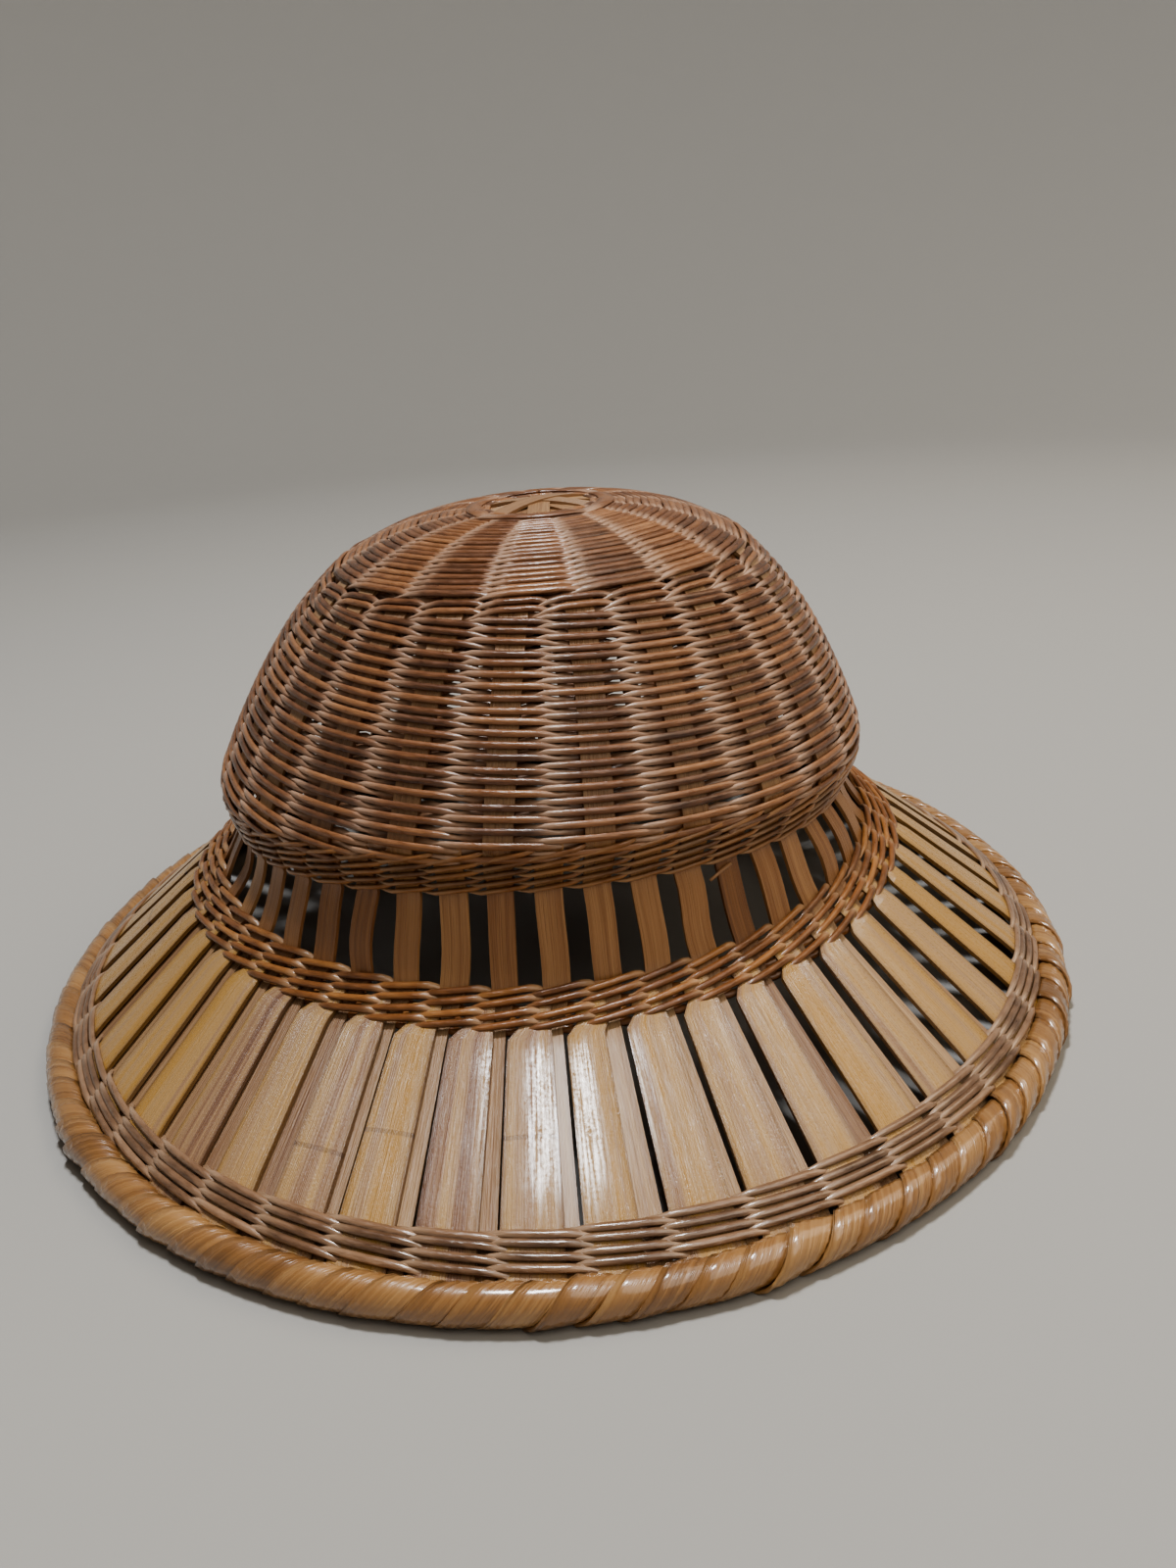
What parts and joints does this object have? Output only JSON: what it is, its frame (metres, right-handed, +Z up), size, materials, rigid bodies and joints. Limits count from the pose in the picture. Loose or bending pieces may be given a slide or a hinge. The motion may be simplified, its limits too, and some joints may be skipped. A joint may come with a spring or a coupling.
{
  "type": "woven bamboo sun hat",
  "caption": "Sun hat in pith helmet form, woven from bamboo, with a domed crown, an open vent band and a sloping brim with a roped rim.",
  "frame": {"origin": "centre of the rim's outline, on the surface that the rim rests on", "axes": "+Z up through the crown, the nose of the hat towards -Y, +Y towards the nape, +X towards the wearer's left"},
  "size_m": [0.2862, 0.343, 0.1333],
  "materials": {
    "splint": "varnished split bamboo",
    "crown_weave": "varnished bamboo strands, brown",
    "band_weave": "varnished bamboo strands, orange brown",
    "rim_wrap": "varnished bamboo strands, glossy"
  },
  "bodies": {
    "root": {"crown_apex": "splint", "crown_cap": "crown_weave", "crown_sides": "crown_weave", "crown_border": "band_weave", "base_band": "band_weave", "brim_band": "band_weave", "rim_roll": "rim_wrap", "strip_01": "splint", "strip_02": "splint", "strip_03": "splint", "strip_04": "splint", "strip_05": "splint", "strip_06": "splint", "strip_07": "splint", "strip_08": "splint", "strip_09": "splint", "strip_10": "splint", "strip_11": "splint", "strip_12": "splint", "strip_13": "splint", "strip_14": "splint", "strip_15": "splint", "strip_16": "splint", "strip_17": "splint", "strip_18": "splint", "strip_19": "splint", "strip_20": "splint", "strip_21": "splint", "strip_22": "splint", "strip_23": "splint", "strip_24": "splint", "strip_25": "splint", "strip_26": "splint", "strip_27": "splint", "strip_28": "splint", "strip_29": "splint", "strip_30": "splint", "strip_31": "splint", "strip_32": "splint", "strip_33": "splint", "strip_34": "splint", "strip_35": "splint", "strip_36": "splint", "strip_37": "splint", "strip_38": "splint", "strip_39": "splint", "strip_40": "splint", "strip_41": "splint", "strip_42": "splint", "strip_43": "splint", "strip_44": "splint", "strip_45": "splint", "strip_46": "splint", "strip_47": "splint", "strip_48": "splint"}
  },
  "joints": []
}
